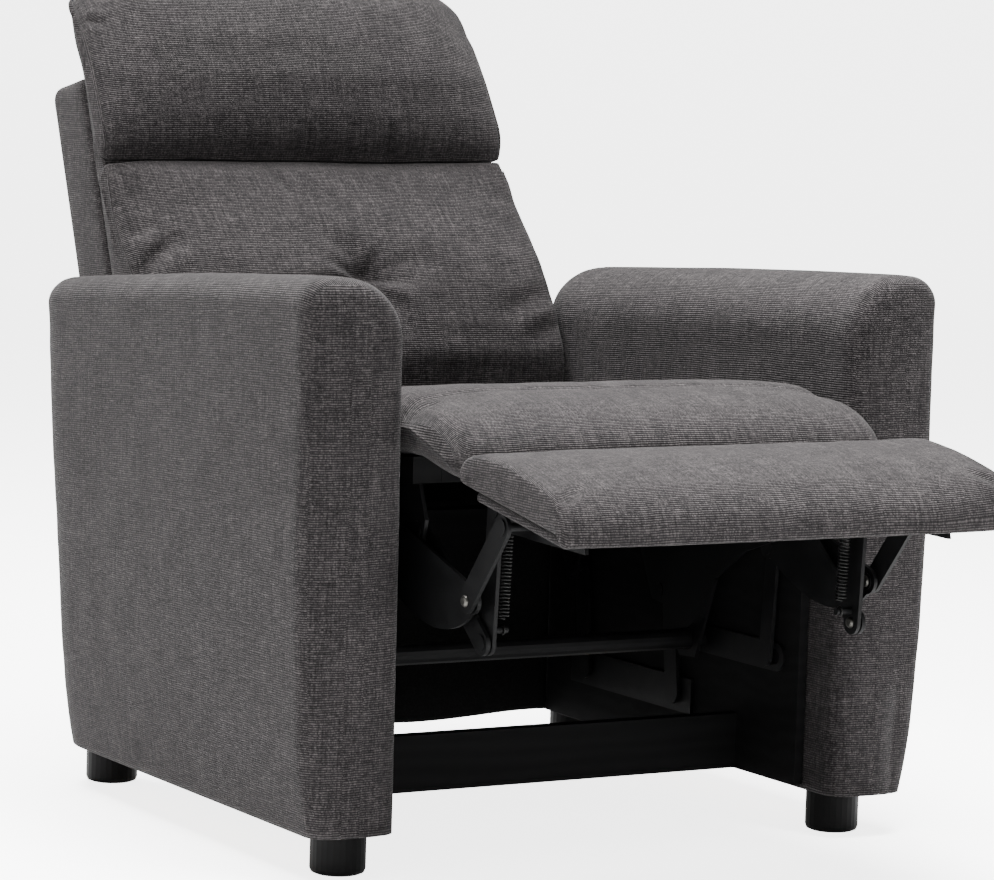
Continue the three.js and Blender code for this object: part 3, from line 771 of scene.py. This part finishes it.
# back, in a frame of its own: n forwards and s up along it
back = {
    "origin": (330.0, 330.0), "lean": radians(21.5),
    "half": 247.0, "edge": 9.0, "columns": 120, "cornerTurn": 6, "bulge": 3,
    "rear": -3.8, "rows": 170, "power": (2.6, 0.62), "passes": 6,
    # pairs of s and a share: how much deeper and wider the pillows are at their right, where they have settled
    "deeper": [(30, 0.9), (80, 1.25), (150, 1.25), (250, 1.05), (300, 0.9), (346, 0.75), (420, 0.45), (520, 0)],
    "wider": [(30, 0), (80, 0.65), (150, 1), (250, 1), (310, 0.5), (346, 0)],
    "settle": 22, "rightSpread": 0.024, "lumbarSpread": 1.012,
    "seam": 347, "seamSway": (2.4, 71, 190), "swayReach": 30,
}
lumbar = {
    "low": 60, "high": 345.5, "spine": [(24, 120), (22, 250), (8, 325)], "insets": (5, 11), "rearTop": 0.0,
    # pairs of s and n, at the side seam and in the middle
    "side": [
        (60, 62), (100, 70), (150, 64), (190, 56), (215, 50), (240, 40), (262, 33), (290, 26), (325, 25), (346, 24)],
    "middle": [
        (60, 88), (96, 107), (140, 108), (185, 104), (215, 97), (250, 84), (285, 68), (318, 52), (334, 42), (346, 27)],
    "tuft": (13.0, 190.0), "button": (11, 17), "dish": (14, 58, 1.6), "rays": (1.3, 34, 30),
    "pulls": [  # creases from beside the tuft: offset from it, end, width, depth
        ((-14, -4), (-120, 160), 13, 3.0), ((12, 2), (110, 215), 13, 2.8), ((8, -12), (60, 118), 13, 2.8),
        ((0, 12), (-34, 262), 13, 2.6)],
    "folds": [
        ((-250, 196), (-190, 250), 9, 6.0), ((-246, 250), (-205, 262), 8, 2.6), ((160, 138), (246, 178), 10, 2.6),
        ((190, 108), (248, 132), 9, 2.2), ((-60, 338), (-44, 296), 5, 2.6), ((96, 340), (92, 300), 5, 2.6)],
    "ripple": [(1.8, 41, 150), (0.8, 42, 55)], "leftSag": 5.0,
}
head = {
    "half": 250.0, "low": 348, "high": 580, "insets": (4, 9), "rearTop": -10,
    "spine": [(10, 380), (8, 470), (-4, 545)],
    "side": [(348, 19), (360, 29), (384, 33), (444, 26), (500, 15), (540, 7), (566, -2), (580, -10)],
    "middle": [
        (348, 24), (356, 38), (370, 48), (395, 56), (440, 60), (490, 53), (530, 42), (556, 29), (572, 12), (580, -6)],
    "cornerDrop": 34,
    "pleats": [  # place along the seam, lean, depth
        (0, -6, 3.0), (97, 8, 3.0), (183, 5, 2.6), (-110, -7, 2.4), (-190, -4, 2.0), (48, 3, 1.8)],
    "folds": [((-252, 520), (-225, 505), 5, 3.0)],
    "ripple": [(1.8, 51, 150), (0.7, 52, 60)],
}


def fromBack(n, s):
    # From the back's own frame to the chair's y and z.
    y0, z0 = back["origin"]
    lean = back["lean"]
    return y0 + s * sin(lean) - n * cos(lean), z0 + s * cos(lean) + n * sin(lean)


# a pillow's outline at each x, in n and s: its front lies between the side seam's depth and the middle's, by a rounded
# crown across the width; then come its top, its rear and its bottom
def pillowRing(pillow):
    low, high, rear, rearTop = pillow["low"], pillow["high"], back["rear"], pillow["rearTop"]
    s = low + (high - low) * (0.5 - 0.5 * np.cos(np.linspace(0, pi, back["rows"])))
    side, middle = curve(s, pillow["side"])[:, None], curve(s, pillow["middle"])[:, None]
    f = np.linspace(0, 1, 16)[1:-1, None]
    rearLow = low + 8
    rearS = np.linspace(high, rearLow, 40)[:, None]
    rearN = rear + rearTop * ease(rearS, 458, 40)

    def ring(x):
        w = np.clip(np.abs(x) / back["half"], 0, 1)
        front = side + (middle - side) * (1 - w ** back["power"][0]) ** back["power"][1]
        topEdge = front[-1] * (1 - f) + (rear + rearTop) * f
        lowEdge = rear * (1 - f) + front[0] * f
        n = np.concatenate([front, topEdge, rearN + 0 * x, lowEdge])
        up = np.concatenate([s[:, None], high + 0 * f, rearS, rearLow * (1 - f) + low * f])
        return averaged(np.stack([n, up + 0 * x], -1), back["passes"])

    return ring


def headDrop(x, s):
    # How far the head pillow's two top corners drop.
    return ease(np.abs(x), 165, 85) ** 2.2 * head["cornerDrop"] * ease(s, 470, 112) ** 1.5


def settled(x, s):
    # The factor on the pillows' width, and how much deeper they are at their right.
    wide = np.where(s < back["seam"] - 0.5, back["lumbarSpread"], 1.0)
    wide = wide + np.where(x > 0, back["rightSpread"], 0.0) * curve(s, back["wider"])
    return wide, back["settle"] * np.clip(x / back["half"], 0, 1) ** 3 * curve(s, back["deeper"])


def seamSway(x, s):
    # The seam between the two pillows isn't quite straight: both follow this sway, which dies out away from it.
    height, seed, size = back["seamSway"]
    return height * wobble(x, 0 * x, seed, size) * np.exp(-(((s - back["seam"]) / back["swayReach"]) ** 2))


def backPiece(name, grid, isCap, nodes, fill):
    grid[..., 1], grid[..., 2] = fromBack(grid[..., 1].copy(), grid[..., 2].copy())
    finishPiece(padMesh(name, grid, isCap), "grey_fabric", "back", nodes)


# the lumbar pillow: its outline, less a tuft with rays round it and creases, swollen and spread at its right
def makeLumbar():
    grid, isCap = padGrid(pillowRing(lumbar), {**back, **lumbar})
    x, n, s = grid[..., 0], grid[..., 1], grid[..., 2]
    front = ease(n, 14, 14)
    tuftX, tuftS = lumbar["tuft"]
    dx, ds = x - tuftX, s - tuftS
    r = np.hypot(dx, ds * 1.1)
    turn = np.arctan2(ds, dx)
    buttonDeep, buttonWide = lumbar["button"]
    dishDeep, dishWide, dishPower = lumbar["dish"]
    rayDeep, rayAt, rayWide = lumbar["rays"]
    rays = np.cos(turn * 7 + 0.6) + 0.6 * np.cos(turn * 11 + 2.0)
    dent = buttonDeep * np.exp(-((r / buttonWide) ** 2)) + dishDeep * np.exp(-((r / dishWide) ** dishPower))
    dent += rayDeep * rays * np.exp(-((r - rayAt) / rayWide) ** 2)
    pulls = [((tuftX + a, tuftS + b), *rest) for (a, b), *rest in lumbar["pulls"]]
    n += front * (ripple(x, s, lumbar["ripple"]) - dent - folds(x, s, pulls + lumbar["folds"]))
    s -= front * lumbar["leftSag"] * np.exp(-((x + back["half"]) / 26) ** 2) * ease(s, 300, 45)
    s += seamSway(x, s)
    spread, swell = settled(x, s)
    n += front * swell
    x *= spread
    backPiece("lumbar_pillow", grid, isCap, ["lumbar_cushion"], 0.7)


# the head pillow: its outline, its top corners dropped, pleated above the seam and deeper at its right
def makeHead():
    grid, isCap = padGrid(pillowRing(head), {**back, **head})
    x, n, s = grid[..., 0], grid[..., 1], grid[..., 2]
    s -= headDrop(x, s)
    front = ease(n, 8, 14)
    pleats = [((place, 346), (place + lean, 386), 4.5, depth) for place, lean, depth in head["pleats"]]
    n -= front * folds(x, s, pleats + head["folds"])
    s += seamSway(x, s)
    n += front * (settled(x, s)[1] + ripple(x, s, head["ripple"]))
    backPiece("head_pillow", grid, isCap, ["head_cushion"], 0.7)


# piping along each side of the two pillows, fading out at the ends
piping = {
    "radius": 0.0021, "points": 90, "behind": 3.0,
    "lumbar": (100, 336), "lumbarHalf": back["half"] - 2.4, "lumbarFade": (12, 0.1),
    "head": (358, 520), "headHalf": back["half"] + 0.6, "headFadeIn": (0.1, 9), "headFadeOut": (6, 0.2),
}


def seamPath(pillow, span, half, side):
    # The side seam: the side's depth against s, moved by the corner's drop and by how the pillow has settled.
    s = np.linspace(*span, piping["points"])
    n = curve(s, pillow["side"])
    s = s - headDrop(half, s)
    spread, swell = settled(np.full_like(s, side * half), s)
    y, z = fromBack(n - piping["behind"] + swell, s)
    return mm(np.stack([side * half * spread, y, z], 1))


def makePiping(which, side):
    fade = {k: np.linspace(*piping[k], piping["points"]) for k in ("lumbarFade", "headFadeIn", "headFadeOut")}
    lowRadius = piping["radius"] * np.clip(fade["lumbarFade"], 0, 1)
    highRadius = piping["radius"] * np.clip(np.minimum(fade["headFadeOut"], fade["headFadeIn"]), 0, 1)
    low = tube("low", seamPath(lumbar, piping["lumbar"], piping["lumbarHalf"], side), lowRadius)
    high = tube("high", seamPath(head, piping["head"], piping["headHalf"], side), highRadius)
    finishPiece(joined(f"{which}_back_piping", [low, high]), "piping", "back")


seamStrip = {
    "half": 249, "edge": 3.0, "columns": 40, "cornerTurn": 4, "bulge": 0.5, "insets": (1,),
    "spine": [(2, 338), (2, 354)],
    "outline": [(-3, 326), (12, 330), (19, 346), (12, 362), (-3, 366)], "samples": 60, "passes": 3,
}
shell = {
    "half": 250.5, "edge": 7.0, "columns": 90, "cornerTurn": 6, "bulge": 2, "insets": (5, 12),
    "spine": [(-38, 90), (-38, 425)],
    "outline": [(-5.5, 62.5), (-5.5, 456), (-40, 462), (-76, 469), (-84, 462), (-84, 300), (-84, 80), (-83, 62.5)],
    "samples": 220, "passes": 3, "belly": 6, "ripple": [(1.0, 61, 170)], "cornerDrop": 4,
}


def outlineRing(piece):
    # The same outline at every x.
    base = evenLoop(piece["outline"], piece["samples"], piece["passes"])
    return lambda x: np.repeat(base[:, None, :], len(x), 1)


# the strip of cover that both back pillows are sewn to, behind their seam
def makeSeamStrip():
    backPiece("pillow_seam_strip", *padGrid(outlineRing(seamStrip), seamStrip), [], None)


# the upholstered shell behind the pillows: its outline, its rear bellied out in the middle, its top corners dropped
def makeShell():
    plain = outlineRing(shell)

    def ring(x):
        out = plain(x)
        n, s = out[..., 0], out[..., 1]
        behind = ease(-n, 66, 15) * np.sin(pi * ease(s, 62, 392))
        n -= behind * shell["belly"] * (1 - (np.abs(x) / shell["half"]) ** 4)
        return out

    grid, isCap = padGrid(ring, shell)
    x, n, s = grid[..., 0], grid[..., 1], grid[..., 2]
    n -= np.where(n < -50, ripple(x, s, shell["ripple"]), 0)
    s -= ease(np.abs(x), 225, 24) ** 2 * shell["cornerDrop"] * ease(s, 430, 25)
    backPiece("back_shell_cover", grid, isCap, ["back_shell"], 0.95)


makeLumbar()
makeHead()
makePiping("left", -1)
makePiping("right", 1)
makeSeamStrip()
makeShell()
print("back is made")

# hanging cloths: each one's width, the heights of its two edges, its plane and its waves
cloths = {
    "columns": 90, "rows": 44, "thickness": 0.0012, "hemWave": 0.6, "hemPitch": 46, "waveLength": 120,
    "rear": {"width": 484.4, "top": 291, "bottom": 47, "at": 274.5, "waves": 5.0, "seed": 3},
    "back": {"width": 470, "top": 61, "bottom": -38, "at": -67.3, "waves": 4.0, "seed": 7},
}


# a sheet hung by its top edge: both the hem's height and its swing grow from nothing at the top to full at the bottom
def makeCloth(name, node, body, size, place):
    width, top, bottom, waves, seed = (size[k] for k in ("width", "top", "bottom", "waves", "seed"))
    x, f = np.meshgrid(np.linspace(-width / 2, width / 2, cloths["columns"]), np.linspace(0, 1, cloths["rows"]))
    s = top + (bottom - top) * f + f * waves * cloths["hemWave"] * np.sin(x / cloths["hemPitch"] + seed)
    n = waves * f**1.5 * wobble(x, s, seed, cloths["waveLength"])
    y, z = place(n * 0.5 + size["at"], s)
    points = mm(np.stack([x, y, z], -1))
    index = np.arange(x.size).reshape(x.shape)
    quads = np.stack([index[:-1, :-1], index[1:, :-1], index[1:, 1:], index[:-1, 1:]], -1).reshape(-1, 4)
    uv = np.stack([points[..., 0], mm(s)], -1).reshape(-1, 2)[quads.ravel()]
    obj = makeObject(name, points, quads.tolist(), uv)
    thick = obj.modifiers.new("thickness", "SOLIDIFY")
    thick.thickness = cloths["thickness"]
    thick.offset = 0
    finishPiece(obj, "black_cloth", body, [node])


makeCloth("rear_dust_cloth", "rear_dust_cover", "base", cloths["rear"], lambda n, s: (n, s))
makeCloth("back_dust_cloth", "back_skirt", "back", cloths["back"], fromBack)
print("cloths are made")

# springs
spring = {
    "low": (-358.0, 252.0), "high": (-363.0, 354.5), "x": 195, "turns": 24, "coil": 4.8, "wire": 1.0, "sides": 7,
    "lead": 10.0, "hook": 4.4, "hookTurn": (-0.5 * pi, 0.95 * pi),
}


# a helix between the two pins, drawn in to its axis at both ends, and a hook round each pin
def makeSpring(name, side, which):
    low, high = np.array(spring["low"]), np.array(spring["high"])
    length = np.hypot(*(high - low))
    axis = (high - low) / length
    normal = np.array([-axis[1], axis[0]])
    t = np.linspace(0, 1, spring["turns"] * 22)
    turn = t * spring["turns"] * 2 * pi
    run = spring["lead"] + (length - 2 * spring["lead"]) * t
    radius = spring["coil"] * np.clip(np.minimum(t, 1 - t) * 40, 0, 1)
    coil = low + run[:, None] * axis + (radius * np.sin(turn))[:, None] * normal
    paths = [np.column_stack([side * spring["x"] + radius * np.cos(turn), coil])]
    hook = np.linspace(*spring["hookTurn"], 14)
    for pin, way in ((low, 1), (high, -1)):
        bend = pin + spring["hook"] * (np.cos(hook)[:, None] * way * axis + np.sin(hook)[:, None] * normal)
        paths.append(np.column_stack([np.full(len(hook), side * spring["x"]), bend]))
    pieces = [tube("wire", mm(path), mm(spring["wire"]), spring["sides"]) for path in paths]
    finishPiece(joined(name, pieces), "spring_steel", "upright_links", [f"{which}_spring"])


makeSpring("left_coil_spring", -1, "left")
makeSpring("right_coil_spring", 1, "right")

# rivet heads: pairs of a distance from the middle and a height
headShape = {
    "rim": [(1.6, 2.5), (3.0, 2.8), (4.4, 2.3), (5.4, 1.2), (5.8, 0.2), (5.8, -0.3)],
    "dimple": 2.3, "under": -0.3, "sides": 20,
}


# shallow domed heads with a small dimple, each turned about X at its place and facing the way given
def makeHeads(name, body, heads):
    sides = headShape["sides"]
    out, up = np.array(headShape["rim"]).T[:, :, None]
    m = len(out)
    turn = np.linspace(0, 2 * pi, sides, endpoint=False)
    index = np.arange(m * sides).reshape(m, sides)
    beside = np.roll(index, -1, 1)
    quads = np.stack([index[:-1], beside[:-1], beside[1:], index[1:]], -1).reshape(-1, 4).tolist()
    top, under = np.full(sides, m * sides), np.full(sides, m * sides + 1)
    fans = np.stack([top, beside[0], index[0]], 1).tolist() + np.stack([under, index[-1], beside[-1]], 1).tolist()
    parts = []
    for x, y, z, way in heads:
        rim = np.stack([x + way * up + 0 * turn, y + out * np.cos(turn), z + out * np.sin(turn)], -1).reshape(-1, 3)
        middles = [[x + way * headShape[k], y, z] for k in ("dimple", "under")]
        part = makeObject("head", mm(np.vstack([rim, middles])), quads + fans)
        facesOut(part)
        parts.append(part)
    finishPiece(joined(name, parts), "zinc", body)


# for each name: its body, the places of its heads on one side, and the way they face, 1 out and -1 in
rivets = {
    "lower_link_heads": ("upright_links", [(208.1, -358, 240)], -1),
    "elbow_heads": ("diagonal_links", [(236.9, -358, 281)], 1),
    "elbow_inner_heads": ("diagonal_links", [(224.6, -358, 281)], -1),
    "bracket_heads": ("footrest", [(202.1, -365, 368), (202.1, -420, 358)], -1),
    "seat_pivot_heads": ("lower_links", [(214.1, -240.6, 334.6)], -1),
}
for rivetName, (rivetBody, places, way) in rivets.items():
    makeHeads(rivetName, rivetBody, [(side * x, y, z, side * way) for x, y, z in places for side in (-1, 1)])
print("springs and heads are made")
